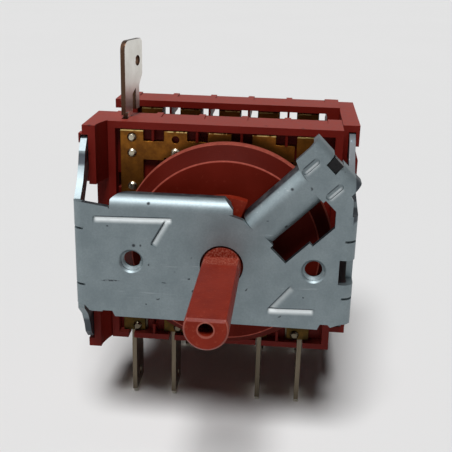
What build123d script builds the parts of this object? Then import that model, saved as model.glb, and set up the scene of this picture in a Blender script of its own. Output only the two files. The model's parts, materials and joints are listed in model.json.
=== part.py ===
from build123d import *
import math
import os

os.makedirs("parts", exist_ok=True)

# Driving dimensions in millimetres.
# The origin is on the shaft axis at the bracket's front face: X right, Y back into the switch, Z up.

# Front bracket, one sheet
sheet = 1.0
bend_r = 1.5
wide_bend_r = 2.2
fixing_pitch = 28.0
tapped_r = 1.65
tapped_mouth_r = 1.95
tapped_collar_r = 2.6
tapped_collar = 1.4
plate_left = -23.0
plate_right = 20.1
plate_bottom = -9.7
left_bend_low = -7.8
left_bend_high = 9.2
right_bend_low = -8.6
right_bend_high = 8.95
top_flange_z = 10.5
top_flange_depth = 2.6
top_flange_left = -17.2
top_flange_right = 1.5
top_flange_slant = 2.2
vee_slant = 1.5
shaft_hole_r = 3.35
gusset_width = 0.95
gusset_depth = 0.35
crease_width = 1.15
crease_depth = 0.35
upper_creases = (((-19.8, 7.0), (-7.6, 7.3)), ((-10.95, 2.9), (-8.7, 6.9)))
lower_creases = (((7.25, -6.8), (10.7, -2.6)), ((7.2, -6.6), (14.5, -6.4)))
dart_levels = (5.0, -4.3)
dart_width = 0.35
dart_depth = 0.7
dart_r = 6.5
left_shoulder = (-17.5, 8.63)
vee_left = 0.9
head_relief = 0.2
right_step = 0.9
right_shoulder_z = 11.4
foot_notch = 0.9
notch_slant = 0.4
notch_width = 1.6
left_notch = 5.9
left_toe = 2.3
right_notch = 3.0
fold_lap = 0.1

# Diagonal arm: u runs out along it, n across it, up and to the left
arm_angle = 45.0
channel_left = 2.2
channel_right = 1.7
channel_start = 7.6
channel_end = 18.7
channel_depth = 4.8
tongue_start = 8.2
tongue_end = 18.2
window_wide = 4.1
window_narrow = 3.4
window_bevel = 1.8
window_step_at = 4.9
head_start = 19.5
head_end = 24.0
head_half = 4.7
head_depth = 4.4
head_slot_left = 1.3
head_slot_right = 0.7
head_slot_start = 22.3
gusset_at = 2.6
gusset_start = 19.4
gusset_end = 21.6

# Side wings, in planes of constant x
horn_in_lug = 1.77
left_horn_in_lug = 1.5
right_horn_in_lug = 1.8
left_wing_depth = 9.3
left_wing_waist = 4.6
left_wing_lean = 2.5
right_wing_depth = 19.5
horn_length = 4.1
right_window = 4.0
right_window_depth = 3.4

# Shaft and rotor
shaft_r = 3.0
shaft_length = 21.5
shaft_flat = 1.5
shaft_chamfer = 0.35
shaft_hole = 1.0
shaft_hole_depth = 9.0
hub_gap = 0.3
star_r = 6.8
star_depth = 3.6
valley_r = 1.25
valley_floor = 5.8
detent_count = 12
lug_r = 10.1
lug_start = 70.0
lug_sweep = 44.5
lug_front = 2.9
lug_depth = 1.6
stem_size = 6.4
stem_fit = 0.1
stem_corner_r = 0.8
stem_end = 37.0

# Cam discs
disc_face_r = 15.0
disc_rim_r = 17.15
rear_disc_rim_r = 15.0
disc_front = 5.7
disc_dish = 2.8
disc_rim = 1.7
cam_half = 1.4
cam_breaks = ((20.0, 9.0), (140.0, 5.0), (260.0, 7.0))
cam_height = 1.0
hub_fit = 0.05
hub_reach = 3.6

# Wafers: the moulded frames, measured from each wafer's own front face
wafer_front = 11.65
wafer_gap = 10.4
wafer_depth = 8.25
wafer_left = -19.9
wafer_right = 17.8
wafer_half = 19.27
top_wall = 1.15
bottom_wall = 1.0
side_wall = 1.2
rear_right_wall = 2.05
floor_front = 1.75
floor_back = 4.35
bay_pitch = 7.15
bay_first = -16.15
bay_count = 5
rib = 0.4
rib_length = 1.85
window_low_in = 2.1
window_top_in = 0.3
tongue_above_low = 0.25
tongue_high_in = 1.92
tongue_gap = 0.3
bar_hole = 0.6
bar_hole_high_in = 7.8
bar_hole_low_in = 10.4
scallop_front = 4.0
scallop_depth = 0.22
scallop_land = 0.35
scallop_bow = 0.7
rib_recess = 0.1
fit = 0.1

# Lugs that carry the wings
lug_left_out = -23.1
lug_left_back = 7.55
lug_left_height = 9.57
lug_left_width = 2.1
lug_left_lip = 0.9
lug_hollow = 0.5
left_web_out = -22.0
left_web_front = 0.6
nib_out = 0.58
nib_sheet = 0.22
nib_drop = 1.3
nib_depth = 1.5
beam_in = 18.0
beam_out = 20.8
beam_drop = 0.4
beam_waist = 20.25
beam_waist_length = 2.3
beam_waist_step = 0.6
beam_lug_height = 3.9
horn_play = 0.25
overhang_left = -22.7
overhang_height = 1.6
pillar_low = 4.0
pillar_high = 11.0
pillar_left = -21.2
pillar_right = -18.4

# Contacts
brass = 0.8
plate_width = 3.8
plate_play = 0.35
plate_leaf_gap = 0.26
plate_bottom_length = 5.0
leaf = 0.4
leaf_width = 2.2
leaf_crown_gap = 0.35
ring_beyond_leaf = 1.3
ring_width = 2.0
ring_sheet = 0.4
ring_level = 1.25
button_r = 0.7
rivet_head_r = 0.75
rivet_head = 0.5
rivet_crown = 0.3
rivet_tail_r = 0.8
rivet_r = 0.5
rivet_fit = 0.05
leaf_rivet_shift = -0.55
leaf_rivet_clear = 1.65
bus_leaf_in = 9.75
leaf_drop = 0.3
button_height = 0.5
chamber_depth = 1.6
link_low_in = 5.25
link_high_in = 2.15
key_r = 0.6
bus_end = 1.4
key_in = 1.75

# Terminal tabs
tab_width = 6.3
tab_sheet = 0.8
tab_reach = 12.93
tab_hole_r = 0.85
tab_foot_width = 3.0
tab_leg_front = 1.0
tab_leg_width = 3.0
tab_nose = 1.0
tab_shoulder = 0.8
tab_hole_up = 3.2
tab_foot = 2.3
tab_offset = 0.45
tab_rivet_offset = 0.55
tab_rivet_in = 1.0
top_tab_reach = 12.23
top_tab_twist = 15.0
top_tab_round = 1.4
top_leg_width = 2.6
top_leg_offset = -1.35
top_slot_width = 1.2
top_slot_down = 2.4
top_prong = 1.3
top_tab_bevel = 0.5
top_foot = 5.25
top_foot_rivets_in = (1.55, 4.15)
top_hole_down = 3.5
top_hole_in = 1.7

# Detent
plunger_fit = 0.15
plunger_nose_r = 1.1
plunger_rest = 7.0
plunger_neck = 8.9
plunger_lap = 0.5
plunger_shoulder = 12.0
plunger_front = 1.8
plunger_back = 4.6
guide_r = 0.8
guide_end = 23.7
coil_r = 1.3
coil_play = 0.05
wire_r = 0.22
wire_sides = 6
coil_turns = 7

# Levels and radii that follow from these
leaf_rivet_in = 0.2 * wafer_half
leaf_foot_r = 0.675 * wafer_half
leaf_lift_r = 0.571 * wafer_half
leaf_end_r = 0.42 * wafer_half
leaf_crest = 0.5
plate_low = leaf_foot_r + plate_leaf_gap
ring_outer = leaf_end_r + ring_beyond_leaf
ring_inner = ring_outer - ring_width
disc_hub_r = ring_inner - 1.0
cam_inner = leaf_lift_r - cam_half
cam_outer = leaf_lift_r + cam_half
tongue_bay = bay_count - 2
top_inner = wafer_half - top_wall
bottom_inner = bottom_wall - wafer_half
wing_horn = wafer_half - horn_in_lug
right_wing_web = right_wing_depth - right_horn_in_lug - 2 * fit
beam_front = right_wing_depth - right_horn_in_lug
beam_lug_low = wafer_half - beam_lug_height
horn_low = wing_horn - horn_length
lug_left_low = wafer_half - lug_left_height
lug_left_front = left_wing_depth - left_horn_in_lug - wafer_front
rib_top = top_inner - rib_length
rib_bottom = bottom_inner + rib_length
link_low = top_inner - link_low_in
link_high = top_inner - link_high_in
tab_end = -wafer_half - tab_reach
tab_foot_top = bottom_inner + tab_foot
top_tab_end = wafer_half + top_tab_reach
top_foot_low = top_inner - top_foot
top_foot_rivets = [top_inner - depth for depth in top_foot_rivets_in]


# Shapes drawn as seen from the front, or from the side, and given a thickness
def slab(outline, front, back):
    return extrude(Plane.XZ.offset(-front) * outline, amount=front - back)


def fin(outline, left, right):
    return extrude(Plane.YZ.offset(left) * outline, amount=right - left)


def polygon(*points):
    return make_face(Polyline(*points, close=True))


def block(left, right, front, back, low, high):
    size = Box(right - left, back - front, high - low)
    return Pos((left + right) / 2, (front + back) / 2, (low + high) / 2) * size


def rod(radius, front, back, x=0.0, z=0.0):
    return Pos(x, (front + back) / 2, z) * Rot(90, 0, 0) * Cylinder(radius, back - front)


def mirrored(points):
    return list(points) + [(a, -b) for a, b in reversed(points)]


def save(name, shape):
    export_step(shape, f"parts/{name}.step")


arm_cos = math.cos(math.radians(arm_angle))
arm_sin = math.sin(math.radians(arm_angle))
back_way = Vector(0, 1, 0)
arm_u = Vector(arm_cos, 0, arm_sin)
arm_n = Vector(-arm_sin, 0, arm_cos)


def arm_xz(u, n):
    return (u * arm_cos - n * arm_sin, u * arm_sin + n * arm_cos)


def arm_point(u, n, y=0.0):
    x, z = arm_xz(u, n)
    return Vector(x, y, z)


# A fold: the bent edge of the sheet, from its outer corner line, back to the stated depth
def fold(corner, into, run, depth, radius):
    profile = polygon((0, 0), (radius, 0), (radius, sheet), (sheet, sheet), (sheet, depth), (0, depth))
    outer = profile.vertices().sort_by_distance((0, 0, 0))[0]
    profile = fillet(outer, radius)
    inner = profile.vertices().sort_by_distance((sheet, sheet, 0))[0]
    profile = fillet(inner, radius - sheet)
    place = Plane(origin=corner, x_dir=into, z_dir=into.cross(back_way))
    return extrude(place * profile, amount=run)


# Front bracket
def flat_of_bracket():
    right_edge = plate_right - bend_r
    arm_edge = channel_left + sheet - wide_bend_r
    return polygon(
        (plate_left + bend_r, left_bend_high),
        left_shoulder,
        (top_flange_left, top_flange_z - wide_bend_r),
        (0.0, top_flange_z - wide_bend_r),
        (vee_left, top_flange_z - wide_bend_r),
        arm_xz(channel_start - fold_lap, channel_left + sheet),
        arm_xz(channel_start, arm_edge),
        arm_xz(channel_end, arm_edge),
        arm_xz(channel_end + head_relief, channel_left + sheet),
        arm_xz(head_start, head_half),
        arm_xz(head_end - wide_bend_r, head_half),
        arm_xz(head_end - wide_bend_r, -head_half),
        (plate_right - right_step, right_shoulder_z),
        (plate_right - right_step, right_bend_high),
        (right_edge, right_bend_high),
        (right_edge, right_bend_low),
        (plate_right - right_notch, plate_bottom + foot_notch / 2),
        (plate_right - right_notch - notch_slant, plate_bottom + foot_notch),
        (plate_right - right_notch - notch_width, plate_bottom + foot_notch),
        (plate_right - right_notch - notch_width - notch_slant, plate_bottom),
        (plate_left + left_notch + notch_slant, plate_bottom + notch_slant / 2),
        (plate_left + left_notch, plate_bottom + foot_notch + notch_slant / 2),
        (plate_left + left_notch - notch_width, plate_bottom + foot_notch + notch_slant / 2),
        (plate_left + left_notch - notch_width, plate_bottom + foot_notch),
        (plate_left + left_toe, plate_bottom + foot_notch),
        (plate_left + bend_r, left_bend_low),
    )


def window_of_bracket():
    tongue_edge = -channel_right - sheet + wide_bend_r
    tongue_outer = -channel_right - sheet
    return polygon(
        arm_xz(channel_start, tongue_outer),
        arm_xz(tongue_start, tongue_outer),
        arm_xz(tongue_start, tongue_edge),
        arm_xz(tongue_end, tongue_edge),
        arm_xz(tongue_end, tongue_outer),
        arm_xz(channel_end, tongue_outer),
        arm_xz(channel_end, tongue_outer - window_wide + window_bevel),
        arm_xz(channel_end - window_bevel, tongue_outer - window_wide),
        arm_xz(channel_start + window_step_at, tongue_outer - window_wide),
        arm_xz(channel_start + window_step_at, tongue_outer - window_narrow),
        arm_xz(channel_start, tongue_outer - window_narrow),
    )


# A pressed crease: a steep wall along its line, and a slope back up to the face on the line's right
def crease(start, end):
    along = Vector(end[0] - start[0], 0, end[1] - start[1])
    place = Plane(origin=(start[0], 0, start[1]), x_dir=back_way.cross(along), z_dir=along)
    profile = polygon((0, -crease_depth), (crease_width * 2, -crease_depth), (0, crease_depth))
    return extrude(place * profile, amount=along.length)


def gusset(n):
    length = gusset_end - gusset_start
    x, z = arm_xz(gusset_start + length / 2, n)
    outline = Pos(x, z) * Rot(0, 0, arm_angle) * SlotCenterToCenter(length, gusset_width)
    return slab(outline, -gusset_depth, gusset_depth)


# A crease that stiffens a bend: a thin round wedge pressed in across the corner
def dart(side, corner_x, z):
    corner_in = bend_r * (1 - math.sqrt(0.5))
    away = (dart_r - dart_depth) * math.sqrt(0.5) - corner_in
    return Pos(corner_x + side * away, -away, z) * Cylinder(dart_r, dart_width)


# The left wing leans out a little, and so does the slot that takes its horns
def leaned(shape):
    return Pos(plate_left, bend_r, 0) * Rot(0, 0, left_wing_lean) * Pos(-plate_left, -bend_r, 0) * shape


def make_bracket():
    vee_foot = arm_xz(channel_start - fold_lap, channel_left + sheet)
    flat = flat_of_bracket() - window_of_bracket() - Circle(shaft_hole_r)
    bracket = slab(flat, 0, sheet)
    left_outer = Vector(plate_left, 0, left_bend_low)
    bracket += fold(left_outer, Vector(1, 0, 0), left_bend_high - left_bend_low, bend_r + fold_lap, bend_r)
    right_outer = Vector(plate_right, 0, right_bend_high)
    right_run = right_bend_high - right_bend_low
    bracket += fold(right_outer, Vector(-1, 0, 0), right_run, left_wing_depth / 2, bend_r)
    top_outer = Vector(top_flange_left, 0, top_flange_z)
    top_run = top_flange_right - top_flange_left
    top_flange = fold(top_outer, Vector(0, 0, -1), top_run, top_flange_depth, wide_bend_r)
    slant = polygon(
        (top_flange_left - 1, -1),
        (top_flange_left, -1),
        (top_flange_left, sheet / 2),
        (top_flange_left + top_flange_slant, top_flange_depth),
        (top_flange_left + top_flange_slant, top_flange_depth + 1),
        (top_flange_left - 1, top_flange_depth + 1),
    )
    top_flange -= extrude(slant, amount=2 * top_flange_z)
    vee_top = top_flange_z + fold_lap
    vee = polygon((top_flange_right - vee_slant, vee_top), vee_foot, (vee_foot[0] + vee_slant, vee_top))
    bracket += top_flange - slab(vee, -1, 2 * top_flange_depth)
    channel_outer = arm_point(channel_start, channel_left + sheet)
    bracket += fold(channel_outer, arm_n * -1, channel_end - channel_start, channel_depth, wide_bend_r)
    tongue_outer = arm_point(tongue_end, -channel_right - sheet)
    bracket += fold(tongue_outer, arm_n, tongue_end - tongue_start, channel_depth, wide_bend_r)
    head_outer = arm_point(head_end, head_half)
    bracket += fold(head_outer, arm_u * -1, 2 * head_half, head_depth, wide_bend_r)

    left_wing = mirrored([
        (bend_r, left_bend_high),
        (left_wing_depth - 5.4, wing_horn - 6.2),
        (left_wing_depth - 3.9, wing_horn - 3.6),
        (left_wing_depth - 3.3, wing_horn - 1.9),
        (left_wing_depth - 1.7, wing_horn - 0.3),
        (left_wing_depth - 0.4, wing_horn),
        (left_wing_depth, wing_horn - 0.5),
        (left_wing_depth, wing_horn - horn_length),
        (left_wing_waist, left_bend_high - 1),
    ])
    bracket += leaned(fin(polygon(*left_wing), plate_left, plate_left + sheet))
    right_wing = mirrored([
        (bend_r, right_bend_high),
        (right_wing_depth - 9.0, wing_horn - 6.9),
        (right_wing_depth - 5.2, wing_horn - 3.9),
        (right_wing_depth - 3.4, wing_horn - 1.1),
        (right_wing_depth - 2.0, wing_horn),
        (right_wing_depth - 0.4, wing_horn),
        (right_wing_depth, wing_horn - 0.5),
        (right_wing_depth, horn_low),
        (right_wing_web, horn_low),
    ])
    bracket += fin(polygon(*right_wing), plate_right - sheet, plate_right)

    for side in (-1, 1):
        x = side * fixing_pitch / 2
        bracket += rod(tapped_collar_r, sheet, sheet + tapped_collar, x)
        bracket -= rod(tapped_r, -sheet, sheet + 2 * tapped_collar, x)
        mouth = tapped_mouth_r - tapped_r
        bracket -= Pos(x, mouth / 2, 0) * Rot(90, 0, 0) * Cone(tapped_r, tapped_mouth_r, mouth)
        bracket -= gusset(side * gusset_at)
    window_low = -right_window / 2
    bracket -= block(wafer_right, plate_right + 1, -1, right_window_depth, window_low, -window_low)
    slot_wide = head_slot_left + head_slot_right
    slot_long = head_end + sheet - head_slot_start
    slot_place = Plane(
        origin=arm_point(head_slot_start + slot_long / 2, (head_slot_left - head_slot_right) / 2),
        x_dir=arm_u,
        z_dir=back_way * -1,
    )
    bracket -= slot_place * Box(slot_long, slot_wide, 4 * head_depth)
    for start, end in upper_creases + lower_creases:
        bracket -= crease(start, end)
    for z in dart_levels:
        bracket -= dart(-1, plate_left, z)
        bracket -= dart(1, plate_right, z)
    return bracket


# Shaft: D section in front, star wheel and stop lug behind the sheet, square drive stem through the discs
star_front = sheet + hub_gap
star_back = star_front + star_depth


def make_shaft():
    section = Circle(shaft_r) - Pos(0, shaft_flat + shaft_r) * Rectangle(2 * shaft_r, 2 * shaft_r)
    shaft = slab(section, -shaft_length, 0)
    front_edge = shaft.faces().sort_by(Axis.Y)[0].outer_wire().edges()
    shaft = chamfer(front_edge, shaft_chamfer)
    shaft += rod(shaft_r, 0, star_front)
    star = Circle(star_r)
    valley_at = valley_floor + valley_r
    for step in range(detent_count):
        turn = math.radians(arm_angle + step * 360 / detent_count)
        star -= Pos(valley_at * math.cos(turn), valley_at * math.sin(turn)) * Circle(valley_r)
    shaft += slab(star, star_front, star_back)
    lug = Circle(lug_r) & polygon(
        (0, 0),
        *[
            (2 * lug_r * math.cos(math.radians(a)), 2 * lug_r * math.sin(math.radians(a)))
            for a in (lug_start, lug_start + lug_sweep / 2, lug_start + lug_sweep)
        ],
    )
    shaft += slab(lug, lug_front, lug_front + lug_depth)
    stem = Rectangle(stem_size, stem_size)
    stem = fillet(stem.vertices(), stem_corner_r)
    shaft += slab(stem, star_back, stem_end)
    shaft -= rod(shaft_hole, -shaft_length - 1, shaft_hole_depth - shaft_length)
    return shaft


# Cam discs: a dished disc, a hub that turns in the wafer's floor, and a broken cam ring behind
def make_disc(front, rim_r, hub_back):
    rim_front = front + disc_dish
    rim_back = rim_front + disc_rim
    face_r = rim_r - (disc_rim_r - disc_face_r)
    profile = polygon(
        (0, front),
        (face_r, front),
        (rim_r, rim_front),
        (rim_r, rim_back),
        (disc_hub_r, rim_back),
        (disc_hub_r, hub_back),
        (0, hub_back),
    )
    disc = revolve(profile, Axis.Y)
    ring = Circle(cam_outer) - Circle(cam_inner)
    for turn, width in cam_breaks:
        gap_place = Pos(cam_outer * math.cos(math.radians(turn)), cam_outer * math.sin(math.radians(turn)))
        ring -= gap_place * Rot(0, 0, turn) * Rectangle(cam_outer, width)
    disc += slab(ring, rim_back, rim_back + cam_height)
    bore = stem_size + 2 * stem_fit
    opening = fillet(Rectangle(bore, bore).vertices(), stem_corner_r - stem_fit)
    return disc - slab(opening, front - 1, hub_back + 1)


# Where the bays, ribs and contacts stand, the same for both wafers
bays = [bay_first + bay_pitch * n for n in range(bay_count)]
ribs = [x + bay_pitch / 2 for x in bays[:-1]]
stem_x = top_leg_offset + bays[0]
front_bottom_bays = [bay for bay in range(bay_count) if bay != bay_count // 2]
rear_bottom_bays = front_bottom_bays[1:]


# A lower tab stands beside its bay's centre line, and its foot's rivet on the other side
def tab_side(bay):
    return -1 if bay < bay_count / 2 else 1


def tab_x(bay):
    return bays[bay] + tab_side(bay) * tab_offset


def tab_rivet(bay):
    return (bays[bay] - tab_side(bay) * tab_rivet_offset, bottom_inner + tab_rivet_in)


def top_leaf_rivet(bay):
    return (bays[bay], top_inner - leaf_rivet_in)


def bottom_leaf_rivet(bay):
    return (bays[bay] - tab_side(bay) * leaf_rivet_shift, bottom_inner + tab_foot + leaf_rivet_clear)


bus_leaf_rivet = (bays[0], top_inner - bus_leaf_in)
front_leaves = {"top_1": bus_leaf_rivet}
rear_leaves = {"top_1": top_leaf_rivet(0)}
for bay in range(1, bay_count):
    front_leaves[f"top_{bay + 1}"] = top_leaf_rivet(bay)
    rear_leaves[f"top_{bay + 1}"] = top_leaf_rivet(bay)
for bay in front_bottom_bays:
    front_leaves[f"bottom_{bay + 1}"] = bottom_leaf_rivet(bay)
for bay in rear_bottom_bays:
    rear_leaves[f"bottom_{bay + 1}"] = bottom_leaf_rivet(bay)


# A radial strip: the chamber under a leaf, from beyond its rivet to beyond its free end
def chamber(rivet, front, back):
    reach = math.hypot(*rivet) + leaf_width / 2 + fit
    inner = leaf_end_r - 2 * fit
    turn = math.degrees(math.atan2(rivet[1], rivet[0]))
    strip = Rot(0, 0, turn) * Pos((reach + inner) / 2, 0) * Rectangle(reach - inner, leaf_width + 2 * fit)
    return slab(strip, front, back)


def make_leaf(rivet, floor):
    reach = math.hypot(*rivet) + leaf_width / 2
    turn = math.degrees(math.atan2(rivet[1], rivet[0]))
    crown = disc_front + disc_dish + disc_rim + cam_height + leaf_crown_gap - floor_of_front
    bent = [
        (reach, 0),
        (leaf_foot_r, 0),
        (leaf_lift_r + leaf_crest, crown),
        (leaf_lift_r - leaf_crest, crown),
        (leaf_end_r + leaf_width / 2, leaf_drop),
        (leaf_end_r, leaf_drop),
    ]
    under = [(r, y + leaf) for r, y in reversed(bent)]
    strip = extrude(polygon(*bent, *under), amount=leaf_width / 2, both=True)
    button_at = leaf_end_r + button_r
    button_back = leaf_drop + leaf + button_height
    strip += rod(button_r, leaf_drop + leaf, button_back, button_at)
    strip = Rot(0, -turn, 0) * strip
    strip = Pos(0, floor, 0) * strip
    return strip - rod(rivet_r + rivet_fit, floor - 1, floor + 1, *rivet)


def make_wafer(front, leaves, tab_bays, right_wall):
    floor_a = front + floor_front
    floor_b = front + floor_back
    back = front + wafer_depth
    inside = (wafer_left + side_wall, wafer_right - right_wall)
    wafer = block(wafer_left, wafer_right, front, back, -wafer_half, wafer_half)
    wafer -= block(*inside, front - 1, floor_a, bottom_inner, top_inner)
    wafer -= block(*inside, floor_b, back + 1, bottom_inner, top_inner)
    for x in ribs:
        for low, high in ((rib_top, top_inner), (bottom_inner, rib_bottom)):
            wafer += block(x - rib / 2, x + rib / 2, front + rib_recess, floor_a, low, high)
            wafer += block(x - rib / 2, x + rib / 2, floor_b, back - rib_recess, low, high)
    for x in bays:
        wafer -= scallop(x, front, back)
    wafer -= rod(disc_hub_r + hub_fit, front, back)
    groove_back = floor_a + ring_level + ring_sheet
    wafer -= slab(Circle(ring_outer + fit) - Circle(ring_inner - fit), floor_a, groove_back)
    for rivet in leaves.values():
        wafer -= chamber(rivet, floor_a, floor_a + chamber_depth)
        wafer -= rod(rivet_tail_r + fit, floor_a, floor_a + chamber_depth, *rivet)
    for bay in tab_bays:
        wafer -= tab_pocket(bay, front)
    return wafer


# Shallow pocket in the top wall behind its front band, with a curved front edge
def scallop(x, front, back):
    half = (bay_pitch - rib) / 2 - scallop_land
    start = front + scallop_front
    side = start + scallop_bow
    edge = Polyline((x + half, side), (x + half, back + 1), (x - half, back + 1), (x - half, side))
    bow = ThreePointArc((x - half, side), (x, start), (x + half, side))
    face = make_face(edge + bow)
    return Pos(0, 0, wafer_half - scallop_depth) * extrude(face, amount=2 * scallop_depth)


# The rear wafer's floor is open beside each top plate, up to the ribs and the right wall
def bay_windows(front):
    windows = []
    edge = plate_width / 2 + fit
    window_low = top_inner - window_low_in
    window_top = top_inner - window_top_in
    for x in bays:
        for near, far in ((x - edge, x - bay_pitch / 2 + rib / 2), (x + edge, x + bay_pitch / 2 - rib / 2)):
            left, right = sorted((near, far))
            if left > wafer_left + side_wall:
                windows.append(block(left, right, front, front + wafer_depth, window_low, window_top))
    return sum(windows[1:], windows[0])


# Room in the floor and the bottom wall for a lower tab's foot, rivet and leg
def tab_pocket(bay, front):
    floor_a = front + floor_front
    side = tab_side(bay)
    x = tab_x(bay)
    outer = x + side * (tab_sheet / 2 + fit)
    inner = outer - side * (tab_foot_width + 2 * fit)
    left, right = sorted((outer, inner))
    foot = block(left, right, floor_a, floor_a + tab_sheet + fit, bottom_inner, tab_foot_top + fit)
    half = tab_sheet / 2 + fit
    leg_back = floor_a + tab_leg_front + tab_leg_width + fit
    leg = block(x - half, x + half, floor_a, leg_back, bottom_inner - bottom_wall - 1, tab_foot_top + fit)
    mouth = block(x - half, x + half, front - 1, leg_back, bottom_inner - bottom_wall - 1, bottom_inner)
    return foot + leg + mouth


def make_lower_tab(bay, front):
    floor_a = front + floor_front
    x = tab_x(bay)
    leg_front = floor_a + tab_leg_front
    leg_back = leg_front + tab_leg_width
    blade_top = -wafer_half - tab_shoulder
    blade_back = leg_front + tab_width
    outline = polygon(
        (floor_a, tab_foot_top),
        (leg_back, tab_foot_top),
        (leg_back, blade_top),
        (blade_back, blade_top),
        (blade_back, tab_end + tab_nose),
        (blade_back - tab_nose, tab_end),
        (leg_front + tab_nose, tab_end),
        (leg_front, tab_end + tab_nose),
        (leg_front, bottom_inner + fit),
        (floor_a, bottom_inner + fit),
    )
    tab = fin(outline, x - tab_sheet / 2, x + tab_sheet / 2)
    side = tab_side(bay)
    outer = x + side * tab_sheet / 2
    inner = outer - side * tab_foot_width
    left, right = sorted((outer, inner))
    tab += block(left, right, floor_a, floor_a + tab_sheet, bottom_inner + fit, tab_foot_top)
    hole_y = (leg_front + blade_back) / 2
    tab -= Pos(x, hole_y, tab_end + tab_hole_up) * Rot(0, 90, 0) * Cylinder(tab_hole_r, 2 * tab_sheet)
    return tab - rod(rivet_r + rivet_fit, floor_a - 1, floor_a + 2, *tab_rivet(bay))


# The tall tab at the top left: a foot under the linked plate, a leg through the top wall, a twisted blade
def make_top_tab():
    floor_a = wafer_front + floor_front
    leg_front = floor_a + tab_leg_front
    leg_back = leg_front + top_leg_width
    leg_outline = polygon(
        (floor_a, top_foot_low),
        (leg_back, top_foot_low),
        (leg_back, wafer_half + tab_shoulder),
        (leg_front, wafer_half + tab_shoulder),
        (leg_front, top_inner - fit),
        (floor_a, top_inner - fit),
    )
    tab = fin(leg_outline, stem_x - tab_sheet / 2, stem_x + tab_sheet / 2)
    foot_left = stem_x - tab_sheet / 2
    foot_right = foot_left + tab_foot_width
    tab += block(foot_left, foot_right, floor_a, floor_a + tab_sheet, top_foot_low, top_inner - fit)
    blade_low = wafer_half + tab_shoulder / 2
    shoulder = top_tab_end - tab_width
    slot_back = leg_back + top_slot_width
    blade_back = leg_front + tab_width
    outline = polygon(
        (leg_front, blade_low),
        (leg_back, blade_low),
        (leg_back, shoulder - top_slot_down),
        (slot_back, shoulder - top_slot_down + tab_shoulder),
        (slot_back, blade_low + tab_shoulder / 2),
        (slot_back + top_prong, blade_low + tab_shoulder / 2),
        (slot_back + top_prong, shoulder - top_prong),
        (blade_back, shoulder + tab_shoulder / 2),
        (blade_back, top_tab_end),
        (leg_front, top_tab_end),
    )
    blade = fin(outline, -tab_sheet / 2, tab_sheet / 2)
    top_edge = blade.edges().filter_by(Axis.X).group_by(Axis.Z)[-1].sort_by(Axis.Y)
    blade = fillet(top_edge[0], top_tab_round)
    top_edge = blade.edges().filter_by(Axis.X).group_by(Axis.Z)[-1].sort_by(Axis.Y)
    blade = chamfer(top_edge[-1], top_tab_bevel)
    hole_z = top_tab_end - top_hole_down
    blade -= Pos(0, blade_back - top_hole_in, hole_z) * Rot(0, 90, 0) * Cylinder(tab_hole_r, 2 * tab_sheet)
    turn_y = (leg_front + leg_back) / 2
    blade = Pos(stem_x, turn_y, 0) * Rot(0, 0, -top_tab_twist) * Pos(0, -turn_y, 0) * blade
    tab += blade
    for z in top_foot_rivets:
        tab -= rod(rivet_r + rivet_fit, floor_a - 1, floor_a + 2, bays[0], z)
    return tab


def plate(outline, floor_a, rivets):
    sheet_of_brass = slab(outline, floor_a - brass, floor_a)
    for rivet in rivets:
        sheet_of_brass -= rod(rivet_r + rivet_fit, floor_a - 2, floor_a + 1, *rivet)
    return sheet_of_brass


def top_outline(bay):
    half = plate_width / 2
    high = top_inner - plate_play
    x = bays[bay]
    return polygon((x - half, high), (x + half, high), (x + half, plate_low), (x - half, plate_low))


# Some plates reach sideways under the rib towards the next bay's plate
def side_tongue(bay):
    left = bays[bay]
    right = bays[bay + 1] - plate_width / 2 - tongue_gap
    low = plate_low + tongue_above_low
    high = top_inner - tongue_high_in
    return polygon((left, low), (right, low), (right, high), (left, high))


def bottom_outline(bay):
    half = plate_width / 2
    x = bays[bay]
    low = bottom_inner + fit
    high = low + plate_bottom_length
    return polygon((x - half, low), (x + half, low), (x + half, high), (x - half, high))


# The linked plate runs down bay 1 and across to bay 2, with a tongue back towards the ribs
def link_outline():
    half = plate_width / 2
    left = bays[0] - half
    high = top_inner - plate_play
    return polygon(
        (left, high),
        (bays[0] + half, high),
        (bays[0] + half, link_high),
        (bays[1] - half, link_high),
        (bays[1] - half, high),
        (bays[1] + half, high),
        (bays[1] + half, plate_low),
        (bays[1] - half, plate_low),
        (bays[1] - half, link_low),
        (bays[0] + half, link_low),
        (bays[0] + half, bus_leaf_rivet[1] - bus_end),
        (left, bus_leaf_rivet[1] - bus_end),
    )


def rivet_through(x, z, floor_a, grip, tail_length):
    head_back = floor_a - brass
    head = rod(rivet_head_r, head_back - rivet_head, head_back, x, z)
    crown = head.edges().filter_by(GeomType.CIRCLE).sort_by(Axis.Y)[0]
    head = chamfer(crown, rivet_crown)
    shank = slab(Pos(x, z) * RegularPolygon(rivet_r, 8), head_back, floor_a + grip)
    if tail_length == 0:
        return head + shank
    tail = slab(Pos(x, z) * RegularPolygon(rivet_tail_r, 8), floor_a + grip, floor_a + grip + tail_length)
    return head + shank + tail


def make_rivets(floor_a, leaves, tab_bays, extra):
    rivets = [rivet_through(*rivet, floor_a, leaf, rivet_head) for rivet in leaves.values()]
    rivets += [rivet_through(*tab_rivet(bay), floor_a, tab_sheet, 0) for bay in tab_bays]
    rivets += [rivet_through(*rivet, floor_a, tab_sheet, 0) for rivet in extra]
    return Compound(children=rivets)


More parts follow.
